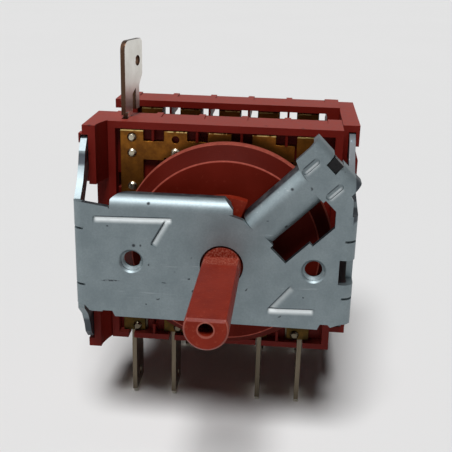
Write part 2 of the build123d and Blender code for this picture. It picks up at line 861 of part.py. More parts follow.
# Front wafer: with the two lugs on its left that take the bracket's left horns
def make_front_wafer():
    wafer = make_wafer(wafer_front, front_leaves, front_bottom_bays, side_wall)
    front = wafer_front + lug_left_front
    back = wafer_front + lug_left_back
    edge = Polyline(
        (wafer_left, wafer_front + left_web_front),
        (wafer_left + side_wall, wafer_front + left_web_front),
        (wafer_left + side_wall, back),
        (lug_left_out, back),
        (lug_left_out, front),
        (lug_left_out + lug_left_width, front),
        (lug_left_out + lug_left_width, front + lug_left_lip),
    )
    hollow = ThreePointArc(
        (lug_left_out + lug_left_width, front + lug_left_lip),
        (lug_left_out + lug_left_width + lug_hollow, front + lug_left_lip + lug_left_width),
        (wafer_left, wafer_front + left_web_front),
    )
    lug = extrude(make_face(edge + hollow), amount=wafer_half - lug_left_low)
    wafer += Pos(0, 0, lug_left_low) * lug
    wafer += Pos(0, 0, -wafer_half) * lug
    web_front = wafer_front + left_web_front
    wafer += block(left_web_out, wafer_left + side_wall, web_front, back, -lug_left_low, lug_left_low)
    slot_half = wing_horn + horn_play
    slot_right = plate_left + sheet + fit
    slot = block(lug_left_out - 1, slot_right, front - 2, left_wing_depth + fit, -slot_half, slot_half)
    wafer -= leaned(slot)
    nib_left = lug_left_out - nib_out
    nib_back = front + nib_depth
    wafer += block(nib_left, lug_left_out, front, nib_back, slot_half, slot_half + nib_sheet)
    wafer += block(nib_left, nib_left + nib_sheet, front, nib_back, slot_half - nib_drop, slot_half)
    wafer -= block(
        ribs[0] - rib, ribs[0] + rib, wafer_front, wafer_front + floor_front, rib_top - 1, link_high + fit
    )
    floor_a = wafer_front + floor_front
    foot_left = stem_x - tab_sheet / 2 - fit
    foot_right = foot_left + tab_foot_width + 2 * fit
    leg_back = floor_a + tab_leg_front + top_leg_width + fit
    wafer -= block(foot_left, foot_right, floor_a, floor_a + tab_sheet + fit, top_foot_low - fit, top_inner)
    leg_right = foot_left + tab_sheet + 2 * fit
    wafer -= block(foot_left, leg_right, floor_a, leg_back, top_foot_low - fit, wafer_half + 1)
    bar_left = bays[0] - plate_width / 2
    bar_hole_low = top_inner - bar_hole_low_in
    bar_hole_high = top_inner - bar_hole_high_in
    wafer -= block(bar_left - bar_hole, bar_left, wafer_front, back, bar_hole_low, bar_hole_high)
    return wafer


# Rear wafer: with an overhanging rail, a side beam that takes the right horns, and two pillars
def make_rear_wafer():
    front = wafer_front + wafer_depth + wafer_gap
    back = front + wafer_depth
    wafer = make_wafer(front, rear_leaves, rear_bottom_bays, rear_right_wall) - bay_windows(front)
    wafer += block(overhang_left, wafer_left, front, back, wafer_half - overhang_height, wafer_half)
    wafer += block(wafer_right, beam_in, front, back, -wafer_half, wafer_half)
    beam_top = wafer_half - beam_drop
    waist_low = beam_lug_low - beam_waist_length
    beam = mirrored([
        (beam_in, beam_top),
        (beam_out, beam_top),
        (beam_out, beam_lug_low),
        (beam_waist, beam_lug_low),
        (beam_waist, beam_lug_low - beam_waist_step),
        (beam_out, waist_low),
    ])
    wafer += slab(polygon(*beam), beam_front, back)
    slot_left = plate_right - sheet - fit
    slot_right = plate_right + fit
    slot_back = right_wing_depth + fit
    slot_half = wing_horn + horn_play
    slot_low = horn_low - horn_play
    wafer -= block(slot_left, slot_right, beam_front - 1, slot_back, slot_low, slot_half)
    wafer -= block(slot_left, slot_right, beam_front - 1, slot_back, -slot_half, -slot_low)
    for low, high in ((pillar_low, pillar_high), (-pillar_high, -pillar_low)):
        wafer += block(pillar_left, pillar_right, wafer_front + wafer_depth, front + 1, low, high)
    return wafer


# Detent: a plunger with a guide pin in the arm's channel, and the coil spring round the pin
channel_mid = (channel_left - channel_right) / 2
plunger_mid = (plunger_front + plunger_back) / 2


def arm_slab(outline, front, back):
    place = Plane(origin=(0, front, 0), x_dir=arm_u, z_dir=back_way * -1)
    return extrude(place * outline, amount=front - back)


def make_plunger():
    nose_centre = plunger_rest + plunger_nose_r
    outline = Pos(nose_centre, 0) * Circle(plunger_nose_r)
    neck = plunger_neck - nose_centre + plunger_lap
    outline += Pos(nose_centre + neck / 2, 0) * Rectangle(neck, 2 * plunger_nose_r)
    width = channel_left + channel_right - 2 * plunger_fit
    length = plunger_shoulder - plunger_neck
    outline += Pos(plunger_neck + length / 2, channel_mid) * Rectangle(length, width)
    plunger = arm_slab(outline, plunger_front, plunger_back)
    guide = guide_end - plunger_shoulder
    place = Plane(origin=arm_point(plunger_shoulder + guide / 2, channel_mid, plunger_mid), z_dir=arm_u)
    return plunger + place * Cylinder(guide_r, guide)


def make_spring():
    start = plunger_shoulder + wire_r + coil_play
    end = head_end - sheet - wire_r - coil_play
    coil = Helix(pitch=(end - start) / coil_turns, height=end - start, radius=coil_r)
    wire = sweep(Plane(origin=coil @ 0, z_dir=coil % 0) * RegularPolygon(wire_r, wire_sides), path=coil)
    return Plane(origin=arm_point(start, channel_mid, plunger_mid), z_dir=arm_u) * wire


floor_of_front = wafer_front + floor_front
floor_of_rear = floor_of_front + wafer_depth + wafer_gap
wafer_step = floor_of_rear - floor_of_front

save("front_bracket", make_bracket())
save("selector_shaft", make_shaft())
save("front_cam_disc", make_disc(disc_front, disc_rim_r, floor_of_front + hub_reach))
save("rear_cam_disc", make_disc(disc_front + wafer_step, rear_disc_rim_r, floor_of_rear + hub_reach))
save("detent_plunger", make_plunger())
save("detent_spring", make_spring())
save("front_wafer", make_front_wafer())
save("rear_wafer", make_rear_wafer())
save("top_tab", make_top_tab())

link = plate(
    link_outline() + side_tongue(1),
    floor_of_front,
    [bus_leaf_rivet, top_leaf_rivet(1), *[(bays[0], z) for z in top_foot_rivets]],
)
save("front_linked_plate", link - rod(key_r, wafer_front, floor_of_front + 1, bays[1], top_inner - key_in))
for bay in range(2, bay_count):
    outline = top_outline(bay)
    if bay == tongue_bay:
        outline += side_tongue(bay)
    save(f"front_top_plate_{bay + 1}", plate(outline, floor_of_front, [top_leaf_rivet(bay)]))
for bay in range(bay_count):
    save(f"rear_top_plate_{bay + 1}", plate(top_outline(bay), floor_of_rear, [top_leaf_rivet(bay)]))
ends = (
    ("front", wafer_front, floor_of_front, front_bottom_bays),
    ("rear", wafer_front + wafer_step, floor_of_rear, rear_bottom_bays),
)
for end, front, floor_a, tab_bays in ends:
    for bay in tab_bays:
        bottom_plate = plate(bottom_outline(bay), floor_a, [tab_rivet(bay), bottom_leaf_rivet(bay)])
        save(f"{end}_bottom_plate_{bay + 1}", bottom_plate)
        save(f"{end}_lower_tab_{bay + 1}", make_lower_tab(bay, front))
    ring = Circle(ring_outer) - Circle(ring_inner)
    save(f"{end}_common_ring", slab(ring, floor_a + ring_level, floor_a + ring_level + ring_sheet))
for name, rivet in front_leaves.items():
    save(f"front_leaf_{name}", make_leaf(rivet, floor_of_front))
for name, rivet in rear_leaves.items():
    save(f"rear_leaf_{name}", make_leaf(rivet, floor_of_rear))
foot_rivets = [(bays[0], z) for z in top_foot_rivets]
save("front_rivets", make_rivets(floor_of_front, front_leaves, front_bottom_bays, foot_rivets))
save("rear_rivets", make_rivets(floor_of_rear, rear_leaves, rear_bottom_bays, []))
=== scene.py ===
import json
import math

import bmesh
import bpy
from mathutils import Matrix, Vector

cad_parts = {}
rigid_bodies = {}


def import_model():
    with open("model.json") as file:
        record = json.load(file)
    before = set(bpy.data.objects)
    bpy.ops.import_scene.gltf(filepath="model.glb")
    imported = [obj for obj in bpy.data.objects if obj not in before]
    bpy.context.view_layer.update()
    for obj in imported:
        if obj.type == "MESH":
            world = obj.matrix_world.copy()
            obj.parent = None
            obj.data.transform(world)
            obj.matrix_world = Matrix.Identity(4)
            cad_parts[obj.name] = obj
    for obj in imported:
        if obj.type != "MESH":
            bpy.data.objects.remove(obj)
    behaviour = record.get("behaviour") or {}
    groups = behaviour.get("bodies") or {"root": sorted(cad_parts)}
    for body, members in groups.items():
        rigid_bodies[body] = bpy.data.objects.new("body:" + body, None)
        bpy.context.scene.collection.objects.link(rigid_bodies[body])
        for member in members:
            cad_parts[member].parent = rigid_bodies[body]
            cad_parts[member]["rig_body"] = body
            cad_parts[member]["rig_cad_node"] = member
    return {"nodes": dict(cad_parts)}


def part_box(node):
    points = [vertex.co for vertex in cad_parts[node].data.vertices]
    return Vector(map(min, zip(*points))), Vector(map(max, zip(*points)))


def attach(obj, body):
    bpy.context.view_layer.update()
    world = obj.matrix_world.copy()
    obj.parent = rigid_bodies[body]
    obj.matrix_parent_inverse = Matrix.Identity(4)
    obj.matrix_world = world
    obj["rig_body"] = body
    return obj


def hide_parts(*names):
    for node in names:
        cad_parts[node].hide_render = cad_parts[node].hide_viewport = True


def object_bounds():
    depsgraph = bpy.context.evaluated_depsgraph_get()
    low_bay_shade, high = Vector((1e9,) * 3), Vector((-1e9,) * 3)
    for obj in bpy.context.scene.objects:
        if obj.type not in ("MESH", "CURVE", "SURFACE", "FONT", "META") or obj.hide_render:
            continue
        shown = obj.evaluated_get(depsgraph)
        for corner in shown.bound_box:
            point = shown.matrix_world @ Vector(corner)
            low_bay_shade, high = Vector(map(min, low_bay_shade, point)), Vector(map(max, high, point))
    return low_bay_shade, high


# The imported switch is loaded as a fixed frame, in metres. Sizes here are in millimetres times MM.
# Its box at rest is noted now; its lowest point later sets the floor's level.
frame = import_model()
nodes = frame["nodes"]
cad_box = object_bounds()
MM = 0.001


# Camera: a short tele view from the front, a little from the right and above.
# Place and direction come from a fit to the two fixing holes, the shaft and the wafers.
camera_at = Vector((9.53, -111.93, 46.49)) * MM
camera_forward = Vector((-0.0754, 0.9393, -0.3348)).normalized()
camera_up = Vector((-0.0526, 0.3315, 0.942)).normalized()
camera_data = bpy.data.cameras.new("view")
camera_data.lens = 63.34
camera_data.sensor_width = 36.0
camera_data.clip_start = 5 * MM
camera = bpy.data.objects.new("view", camera_data)
camera_right = camera_forward.cross(camera_up).normalized()
camera_up = camera_right.cross(camera_forward)
camera.matrix_world = Matrix.Translation(camera_at) @ Matrix(
    (camera_right, camera_up, -camera_forward)
).transposed().to_4x4()
bpy.context.scene.collection.objects.link(camera)
bpy.context.scene.camera = camera
bpy.context.scene.view_settings.view_transform = "Standard"


# Front bracket: one 1 mm steel sheet, pressed, folded and then zinc plated, so blue-grey and satin.
# It has dark specks, scratches and scuffs, painted highlights and painted shade lines on its creases, and
# darker patches and painted shade on its wings and flanges.
# The first class turns shader sockets into numbers, whose expressions add the Math nodes needed.
class Shade:
    def __init__(self, tree, socket):
        self.tree = tree
        self.socket = socket

    def math(self, operation, *values):
        return node_in(self.tree, "ShaderNodeMath", {"operation": operation}, dict(enumerate(values)))

    def __add__(self, other):
        return self.math("ADD", self, other)

    def __sub__(self, other):
        return self.math("SUBTRACT", self, other)

    def __rsub__(self, other):
        return self.math("SUBTRACT", other, self)

    def __mul__(self, other):
        return self.math("MULTIPLY", self, other)

    def __truediv__(self, other):
        return self.math("DIVIDE", self, other)

    def __pow__(self, other):
        return self.math("POWER", self, other)

    __radd__ = __add__
    __rmul__ = __mul__

    def at_most(self, limit):
        return self.math("MINIMUM", self, limit)

    def above(self, level, soft):
        return node_in(
            self.tree,
            "ShaderNodeMapRange",
            {"interpolation_type": "SMOOTHSTEP"},
            {"Value": self, "From Min": level - soft, "From Max": level + soft},
        )


def node_in(tree, kind, settings=None, values=None, output=0):
    node = tree.nodes.new(kind)
    for name, value in (settings or {}).items():
        setattr(node, name, value)
    for name, value in (values or {}).items():
        if isinstance(value, Shade):
            tree.links.new(value.socket, node.inputs[name])
        else:
            node.inputs[name].default_value = value
    return Shade(tree, node.outputs[output])


# A finish is one Principled shader, whose patterns read Object coordinates in millimetres.
class Finish:
    def __init__(self, name, settings=None):
        self.material = bpy.data.materials.new(name)
        self.material.use_nodes = True
        self.tree = self.material.node_tree
        self.shader = self.tree.nodes["Principled BSDF"]
        for socket, value in (settings or {}).items():
            self.shader.inputs[socket].default_value = value
        self.place = self.add("ShaderNodeTexCoord", output=3)

    def add(self, kind, settings=None, values=None, output=0):
        return node_in(self.tree, kind, settings, values, output)

    def noise(self, per_mm, detail=2.0, rough=0.5):
        values = {"Vector": self.place, "Scale": per_mm / MM, "Detail": detail, "Roughness": rough}
        return self.add("ShaderNodeTexNoise", {}, values)

    def stretched(self, scale, detail=2.0, rough=0.5):
        moved = self.add("ShaderNodeMapping", {}, {"Vector": self.place, "Scale": scale})
        values = {"Vector": moved, "Scale": 1.0 / MM, "Detail": detail, "Roughness": rough}
        return self.add("ShaderNodeTexNoise", {}, values)

    def spots(self, per_mm, size):
        distance = self.add("ShaderNodeTexVoronoi", {}, {"Vector": self.place, "Scale": per_mm / MM})
        return 1 - distance.above(size, size * 0.5)

    def mix(self, factor, first, second):
        first, second = ((*c, 1.0) if isinstance(c, tuple) else c for c in (first, second))
        values = {0: factor, 6: first, 7: second}
        return self.add("ShaderNodeMix", {"data_type": "RGBA"}, values, output=2)

    def axis(self, index):
        return self.add("ShaderNodeSeparateXYZ", {}, {"Vector": self.place}, index) / MM

    def facing(self, index):
        normal = self.add("ShaderNodeTexCoord", output=1)
        return self.add("ShaderNodeSeparateXYZ", {}, {"Vector": normal}, index)

    def stroke(self, x, z, half_length, half_width, turn):
        cos, sin = math.cos(math.radians(turn)), math.sin(math.radians(turn))
        x, z = self.axis(0) - x, self.axis(2) - z
        along = (x * cos + z * sin) / half_length
        aside = (z * cos - x * sin) / half_width
        return 1 - (along * along + aside * aside).above(0.9, 0.6)

    def within(self, value, centre, half):
        off = (value - centre) / half
        return 1 - (off * off).above(1.0, 0.6)

    # Painted light along a crease: a painted highlight band below its line and a painted shade line along
    # its wall.
    def crease(self, start, end, width):
        length = math.dist(start, end)
        ahead = [(b - a) / length for a, b in zip(start, end)]
        x, z = self.axis(0) - start[0], self.axis(2) - start[1]
        along = x * ahead[0] + z * ahead[1]
        right = x * ahead[1] - z * ahead[0]
        ends = along.above(0.25, 0.3) * (1 - along.above(length - 0.25, 0.3))
        lit_side = right.above(0.12, 0.1) * (1 - right.above(width * 0.62, width * 0.38))
        shade_line = self.within(right, -0.02, 0.13)
        return lit_side * ends, shade_line * ends

    def feed(self, name, value):
        self.tree.links.new(value.socket, self.shader.inputs[name])

    def bump(self, height, depth_mm, strength=1.0):
        values = {"Height": height, "Distance": depth_mm * MM, "Strength": strength}
        self.feed("Normal", self.add("ShaderNodeBump", {}, values))


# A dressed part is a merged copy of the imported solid, whose flat faces are whole again and whose
# sharp edges get a narrow rounded bevel. It stands for the solid, and rides where that rode.
def dress(name, finish, edge, sharp=32.0, segments=2):
    source = nodes[name]
    copy = source.copy()
    copy.data = source.data.copy()
    copy.name = name + "_finished"
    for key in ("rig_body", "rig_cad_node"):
        if key in copy:
            del copy[key]
    copy.parent = None
    bpy.context.scene.collection.objects.link(copy)
    same_place = 0.002 * MM
    flat = math.radians(1.0)
    mesh = bmesh.new()
    mesh.from_mesh(copy.data)
    bmesh.ops.remove_doubles(mesh, verts=mesh.verts, dist=same_place)
    bmesh.ops.dissolve_limit(mesh, angle_limit=flat, verts=mesh.verts, edges=mesh.edges)
    mesh.to_mesh(copy.data)
    mesh.free()
    bpy.ops.object.select_all(action="DESELECT")
    copy.select_set(True)
    bpy.context.view_layer.objects.active = copy
    if edge:
        bevel = copy.modifiers.new("edges", "BEVEL")
        bevel.width = edge * MM
        bevel.segments = segments
        bevel.limit_method = "ANGLE"
        bevel.angle_limit = math.radians(sharp)
        bpy.ops.object.modifier_apply(modifier=bevel.name)
    bpy.ops.object.shade_smooth_by_angle(angle=math.radians(sharp))
    weighted = copy.modifiers.new("weighted", "WEIGHTED_NORMAL")
    weighted.keep_sharp = True
    bpy.ops.object.modifier_apply(modifier=weighted.name)
    copy.data.materials.clear()
    copy.data.materials.append(finish.material)
    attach(copy, source["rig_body"])
    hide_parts(name)


zinc = Finish("satin_zinc")
cloud = zinc.noise(0.22, 5.0, 0.65)
grain = zinc.noise(3.0, 4.0, 0.7)
specks = zinc.spots(0.36, 0.09) * zinc.noise(0.4, 1.0).above(0.55, 0.04)
scratches = zinc.stretched((0.05, 1.0, 1.6), 4.0, 0.75).above(0.66, 0.03)
scuffs = [
    zinc.stroke(x, z, half_length, half_width, turn)
    for x, z, half_length, half_width, turn in (
        (-17.3, -3.4, 1.4, 0.14, 2),
        (-17.6, 5.6, 0.2, 0.14, 0),
        (-11.2, -0.4, 0.2, 0.22, 0),
        (-5.0, -2.4, 0.22, 0.16, 0),
        (-9.8, -6.1, 0.28, 0.16, 20),
        (-11.7, -7.1, 0.16, 0.1, 0),
        (-12.5, 2.7, 0.16, 0.22, 0),
        (-8.8, -3.3, 0.45, 0.08, -6),
        (8.6, 5.0, 0.6, 0.12, 45),
        (4.0, -3.6, 0.4, 0.12, 50),
        (12.7, -4.4, 0.14, 0.14, 0),
        (9.2, -7.9, 0.35, 0.12, 40),
    )
]
scuffed = sum(scuffs) * grain.above(0.47, 0.08)
on_plate = 1 - zinc.axis(1).above(0.7, 0.1)
arm_slope = math.radians(45)


# Places on the diagonal arm: a distance along it from the shaft's axis, and one to its left.
def on_arm(along, left):
    cos, sin = math.cos(arm_slope), math.sin(arm_slope)
    return (along * cos - left * sin, along * sin + left * cos)


# The creases and the gussets below get painted highlights on their lower sides and painted shade lines
# along their walls.
crease_width = 1.15
creases = (
    ((-19.8, 7.0), (-7.6, 7.3), 1.3),
    ((-10.95, 2.9), (-8.7, 6.9), 0.55),
    ((7.25, -6.8), (10.7, -2.6), 0.4),
    ((7.2, -6.6), (14.5, -6.4), 1.2),
)
lit, shaded = 0, 0
for start, end, sheen in creases:
    lit_side, shade_line = zinc.crease(start, end, crease_width)
    lit = lit + lit_side * sheen
    shaded = shaded + shade_line
gusset_start = 19.0
gusset_end = 21.9
gusset_left = 2.6
gusset_width = 1.0
gusset_line_start = 19.2
gusset_line_left = 0.42
for left in (gusset_left, -gusset_left):
    line_left = left + gusset_line_left
    band = zinc.crease(on_arm(gusset_start, left), on_arm(gusset_end, left), gusset_width)
    line = zinc.crease(on_arm(gusset_line_start, line_left), on_arm(gusset_end, line_left), gusset_width)
    lit = lit + band[0] * 0.6
    shaded = shaded + line[1]

# Darker patches on the left wing's edge and toe; painted shade, broken by unshaded gaps, on the right
# horn and on the up-facing flange faces in front.
left_wing = -21.5
right_wing = 19.4
left_band_height = 14.4
toe_top = -12.6
toe_right = -19.0
right_shade_low = 7.5
horn_low = 11.0
horn_left = 17.5
horn_front = 6.5
flange_low = 7.0
flange_back = 9.0
across, depth, height = zinc.axis(0), zinc.axis(1), zinc.axis(2)
left_edge = 1 - across.above(left_wing, 0.1)
right_edge = across.above(right_wing, 0.1)
# A darker band on the left wing's edge and a darker patch at its toe.
left_edge_dark_band = zinc.within(height, left_band_height, 0.9) * left_edge
toe_dark_patch = (1 - height.above(toe_top, 0.5)) * (1 - across.above(toe_right, 0.3)) * cloud.above(0.42, 0.1)
streaks = zinc.stretched((0.3, 0.3, 0.35), 2.0).above(0.42, 0.05)
# Painted shade on the right horn, standing in for a dark reflection, with gaps that keep the plated tone.
right_edge_painted_shade = height.above(right_shade_low, 0.5) * right_edge * streaks
horn = height.above(horn_low, 0.4) * across.above(horn_left, 0.1) * depth.above(horn_front, 0.3)
horn_shade_gaps = zinc.stretched((0.7, 0.3, 0.5), 2.0).above(0.58, 0.05)
horn_painted_shade = horn * (1 - horn_shade_gaps)
# Painted shade on the up-facing faces of the flanges in front, standing in for a dark reflection.
upward = zinc.facing(2).above(0.95, 0.03) * height.above(flange_low, 0.3)
outward = zinc.facing(2) * math.cos(arm_slope) - zinc.facing(0) * math.sin(arm_slope)
up_facing_faces = (upward + outward.above(0.95, 0.03)) * (1 - depth.above(flange_back, 0.5))
flange_painted_shade = up_facing_faces * (1 - left_edge) * (1 - right_edge) * cloud.above(0.40, 0.12)
darkened = (left_edge_dark_band + toe_dark_patch + right_edge_painted_shade + horn_painted_shade + flange_painted_shade).at_most(1.0)

plate_dark = (0.195, 0.235, 0.250)
plate_light = (0.255, 0.300, 0.315)
grain_grey = (0.150, 0.185, 0.205)
scratch_grey = (0.50, 0.54, 0.55)
painted_crease_highlight = (0.90, 0.95, 0.96)
painted_crease_shade = (0.05, 0.06, 0.07)
patch_and_shade_dark = (0.035, 0.04, 0.05)
speck_dark = (0.03, 0.03, 0.035)
scuff_dark = (0.02, 0.02, 0.025)
tone = zinc.mix(cloud.above(0.5, 0.22), plate_dark, plate_light)
tone = zinc.mix(grain.above(0.5, 0.25) * 0.45, tone, grain_grey)
tone = zinc.mix(scratches * 0.3, tone, scratch_grey)
# Painted highlight on the creases' lower sides, then painted shade along their walls.
tone = zinc.mix(lit * on_plate * (cloud * 0.5 + 0.6), tone, painted_crease_highlight)
tone = zinc.mix(shaded * on_plate * 0.8, tone, painted_crease_shade)
# Darker patches and painted shade, all mixed to one dark tone.
tone = zinc.mix(darkened * 0.85, tone, patch_and_shade_dark)
tone = zinc.mix(specks * 0.85, tone, speck_dark)
tone = zinc.mix(scuffed * 0.9, tone, scuff_dark)
zinc.feed("Base Color", tone)
zinc.feed("Metallic", 1 - horn_painted_shade * 0.85)
zinc.feed("Roughness", cloud * 0.16 + 0.42 + specks * 0.3)
zinc.bump(grain * 0.5 + cloud * 0.3 - specks * 0.4 - scuffed * 0.6, 0.02, 0.6)
dress("front_bracket", zinc, edge=0.12, sharp=20.0)


# Threads of the two fixing holes: an M4 thread is cut through the sheet and its collar.
# Each is one ridge that winds down the bore, modelled once and copied.
tapped_r = 1.65
thread_pitch = 0.7
thread_depth = 0.3
thread_start = 0.45
fixing_pitch = 28.0
bpy.ops.object.select_all(action="DESELECT")
bpy.ops.mesh.primitive_circle_add(
    vertices=3,
    radius=thread_depth * MM,
    location=(tapped_r * MM, thread_start * MM, 0),
    rotation=(0, 0, math.pi / 2),
)
thread = bpy.context.active_object
bpy.ops.object.transform_apply(location=True, rotation=True, scale=True)
winding = thread.modifiers.new("winding", "SCREW")
winding.axis = "Y"
winding.screw_offset = thread_pitch * MM
winding.iterations = 2
winding.steps = 32
winding.render_steps = 32
winding.use_smooth_shade = False
bpy.ops.object.modifier_apply(modifier=winding.name)
bpy.ops.object.mode_set(mode="EDIT")
bpy.ops.mesh.select_all(action="SELECT")
bpy.ops.mesh.fill_holes(sides=3)
bpy.ops.mesh.normals_make_consistent(inside=False)
bpy.ops.object.mode_set(mode="OBJECT")
thread.data.materials.append(zinc.material)
for side, hole in ((-1, "left"), (1, "right")):
    ridge = thread.copy()
    ridge.data = thread.data.copy()
    ridge.data.transform(Matrix.Translation((side * fixing_pitch / 2 * MM, 0, 0)))
    ridge.name = "thread_" + hole
    bpy.context.scene.collection.objects.link(ridge)
    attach(ridge, nodes["front_bracket"]["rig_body"])
bpy.data.objects.remove(thread)


# Shaft: one red phenolic moulding, a D shaft in front and the star wheel and drive stem behind.
# The moulding has a fine pale mottle from its filler, strongest where the flat runs out.
shaft_r = 3.0
shaft_hole_r = 1.0
shaft_end = -21.2
runout_centre = -1.2
runout_half = 1.7
runout_low = 0.8
shaft_red = Finish("orange_red_moulding", {"Specular IOR Level": 0.12})


def from_axis(finish):
    x, z = finish.axis(0), finish.axis(2)
    return (x * x + z * z) ** 0.5


mottle = shaft_red.noise(2.2, 5.0, 0.65)
blotch = shaft_red.noise(0.35, 2.0)
red = shaft_red.mix(blotch.above(0.5, 0.25), (0.165, 0.0125, 0.0045), (0.205, 0.018, 0.007))
red = shaft_red.mix(mottle.above(0.62, 0.08) * 0.35, red, (0.34, 0.075, 0.042))
radius = from_axis(shaft_red)
# Painted highlights: pale lines at the end face's outer rim and at its hole's rim.
rim_highlights = shaft_red.within(radius, shaft_r - 0.1, 0.14) + shaft_red.within(radius, shaft_hole_r + 0.05, 0.14)
at_end = 1 - shaft_red.axis(1).above(shaft_end, 0.1)
red = shaft_red.mix(rim_highlights * at_end * 0.4, red, (0.45, 0.17, 0.13))
runout = shaft_red.within(shaft_red.axis(1), runout_centre, runout_half)
runout = runout * shaft_red.axis(2).above(runout_low, 0.5)
crumbs = shaft_red.noise(3.4, 3.0, 0.6).above(0.54, 0.12)
red = shaft_red.mix(runout * crumbs * 0.6, red, (0.42, 0.16, 0.115))
shaft_red.feed("Base Color", red)
shaft_red.feed("Roughness", mottle * 0.25 + 0.30)
shaft_red.bump(mottle, 0.03, 0.6)
dress("selector_shaft", shaft_red, edge=0.16)


# Cam discs: two dished red phenolic mouldings on the drive stem, darker and more satin than the shaft.
# Their face has a painted highlight line at its own edge and at the rim, and painted shade on the ring
# between.
disc_face_r = 15.0
disc_rim_r = 17.1
disc_red = Finish("red_moulding", {"Specular IOR Level": 0.06})
skin = disc_red.noise(1.4, 4.0, 0.6)
patch = disc_red.noise(0.22, 2.0)
red = disc_red.mix(patch.above(0.5, 0.3), (0.095, 0.006, 0.002), (0.125, 0.009, 0.004))
red = disc_red.mix(skin.above(0.66, 0.06) * 0.3, red, (0.20, 0.035, 0.02))
radius = from_axis(disc_red)
# Painted shade on the ring between the face and the rim.
red = disc_red.mix(radius.above(disc_face_r + 0.1, 0.1) * 0.55, red, (0.035, 0.002, 0.0008))
# Painted highlight lines at the face's edge and at the rim, broken by the skin's noise.
edge_highlights = disc_red.within(radius, disc_face_r, 0.11) + disc_red.within(radius, disc_rim_r, 0.11)
red = disc_red.mix(edge_highlights * (skin * 0.8 + 0.1), red, (0.50, 0.12, 0.085))
disc_red.feed("Base Color", red)
disc_red.feed("Roughness", skin * 0.3 + 0.42)
disc_red.bump(skin, 0.02, 0.5)
dress("front_cam_disc", disc_red, edge=0.25)
dress("rear_cam_disc", disc_red, edge=0.25)


# Wafers: two maroon thermoset frames, moulded, that hold all contacts between the wings.
# They are matte, with small pits, and a painted dusty pink sheen of light on the faces that look up.
maroon = Finish("maroon_moulding", {"Specular IOR Level": 0.12})
skin = maroon.noise(1.0, 4.0, 0.6)
patch = maroon.noise(0.15, 2.0)
red = maroon.mix(patch.above(0.5, 0.3), (0.115, 0.006, 0.003), (0.150, 0.010, 0.006))
# Painted sheen: the faces that look up are mixed towards a light pink.
painted_top_sheen = maroon.facing(2).above(0.6, 0.25) * (skin.above(0.45, 0.3) * 0.5 + 0.5)
red = maroon.mix(painted_top_sheen, red, (0.265, 0.042, 0.030))
pits = maroon.spots(0.30, 0.10) * maroon.noise(0.25, 1.0).above(0.58, 0.03)
red = maroon.mix(pits * 0.8, red, (0.02, 0.002, 0.002))
maroon.feed("Base Color", red)
maroon.feed("Roughness", skin * 0.3 + 0.34)
maroon.bump(skin - pits, 0.03, 0.6)
dress("front_wafer", maroon, edge=0.16)
dress("rear_wafer", maroon, edge=0.16)


# Contact plates and common rings: punched from dull rolled brass and pushed into the wafers' bays.
# The upper plates carry a painted highlight along their top edge, and the lower ones are painted darker
# brown, a painted shade.
plate_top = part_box("front_top_plate_3")[1][2] / MM
highlight_height = 0.22


def brass_finish(name, fresh, darkened):
    brass = Finish(name, {"Metallic": 1.0})
    stain = brass.noise(0.5, 4.0, 0.65)
    tone = brass.mix(stain.above(0.5, 0.22), fresh, darkened)
    # Painted highlight along the top edge of the upper plates, broken into dashes.
    top_edge_highlight = brass.axis(2).above(plate_top - highlight_height, 0.05)
    top_edge_highlight = top_edge_highlight * brass.stretched((1.1, 0.2, 0.2)).above(0.44, 0.05)
    tone = brass.mix(top_edge_highlight * 0.85, tone, (0.95, 0.70, 0.27))
    brass.feed("Base Color", tone)
    brass.feed("Roughness", stain * 0.3 + 0.25)
    brass.bump(stain, 0.02, 0.4)
    return brass


brass = brass_finish("dull_brass", (0.30, 0.115, 0.018), (0.15, 0.055, 0.012))
# The lower plates' finish is the same brass painted darker, a painted shade.
low_brass = brass_finish("painted_shade_brass", (0.075, 0.040, 0.010), (0.030, 0.022, 0.008))
for name in sorted(nodes):
    if "plate" in name or "common_ring" in name:
        dress(name, low_brass if "bottom" in name else brass, edge=0.08, segments=1)


# Contact leaves: thin strips of spring bronze, riveted under the plates and lifted by the cams.
# Rolled and unplated, so a warm, fairly bright metal with a soft cloudy stain.
bronze = Finish("spring_bronze", {"Metallic": 1.0})
stain = bronze.noise(0.6, 3.0)
bronze.feed("Base Color", bronze.mix(stain, (0.55, 0.32, 0.15), (0.38, 0.20, 0.09)))
bronze.feed("Roughness", stain * 0.2 + 0.25)
for name in sorted(nodes):
    if "leaf" in name:
        dress(name, bronze, edge=0.05, segments=1)


# Terminal tabs: flat blades of tinned brass, the tall one above and the lower ones the switch stands on.
# Their sheared edges show drawn, bare metal, painted dark brown as a painted dark reflection; the lower
# blades are painted darker, a painted shade, with painted glints at their tips.
tip_top = -31.3


def tab_finish(name, sheet, tarnish, edge_shade):
    tin = Finish(name, {"Metallic": 1.0})
    cloud = tin.noise(0.3, 4.0, 0.6)
    drawn = tin.stretched((3.0, 3.0, 0.15), 3.0, 0.6)
    sideways = tin.facing(0)
    broad = (sideways * sideways).above(0.5, 0.1)
    tone = tin.mix(cloud.above(0.5, 0.3), sheet, tarnish)
    # The sheared edges: drawn bare metal, painted dark as a painted dark reflection.
    tone = tin.mix(broad, tin.mix(drawn, edge_shade, tuple(c * 0.6 for c in edge_shade)), tone)
    # Painted glints at the blades' tips.
    tip_glint = 1 - tin.axis(2).above(tip_top, 0.25)
    tin.feed("Base Color", tin.mix(tip_glint, tone, (0.80, 0.77, 0.68)))
    tin.feed("Roughness", drawn * 0.25 + 0.2)
    tin.bump(drawn, 0.01, 0.4)
    return tin


tin = tab_finish("tinned_tab", (0.90, 0.89, 0.84), (0.72, 0.70, 0.64), (0.10, 0.055, 0.035))
